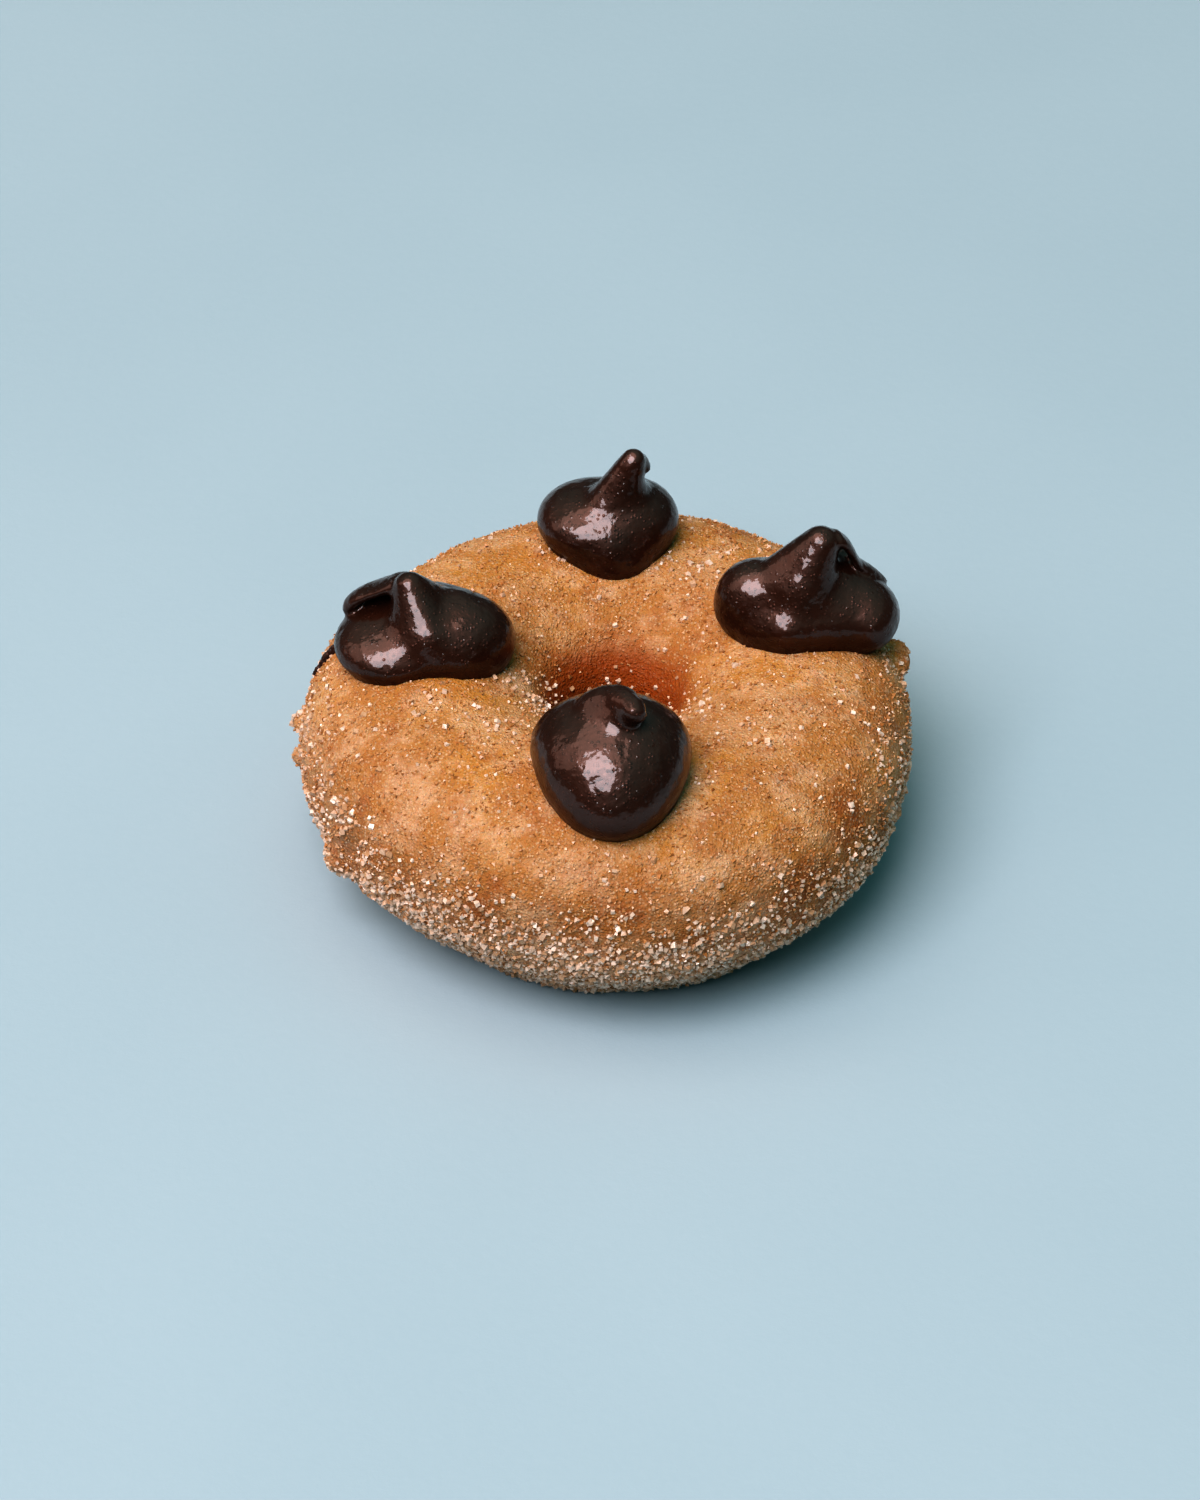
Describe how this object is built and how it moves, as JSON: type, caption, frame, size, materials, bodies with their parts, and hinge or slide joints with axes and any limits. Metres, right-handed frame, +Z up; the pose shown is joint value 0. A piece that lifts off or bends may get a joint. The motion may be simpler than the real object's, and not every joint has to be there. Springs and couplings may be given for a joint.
{
  "type": "ring doughnut",
  "caption": "Gluten-free ring doughnut rolled in cinnamon sugar, with glossy chocolate drops on its crest, each drawn out to a curled tip; an open hole runs through its middle.",
  "frame": {"origin": "on the surface that the doughnut rests on, under the middle of its outline", "axes": "+Z up along the hole, -Y the front with the nearest chocolate drop, +X to the right"},
  "size_m": [0.0862, 0.086, 0.048],
  "materials": {
    "crust": "rough golden fried dough under cinnamon sugar",
    "chocolate": "glossy dark chocolate ganache"
  },
  "bodies": {
    "root": {"ring": "crust", "dollop_front": "chocolate", "dollop_left": "chocolate", "dollop_right": "chocolate", "dollop_back": "chocolate"}
  },
  "joints": []
}
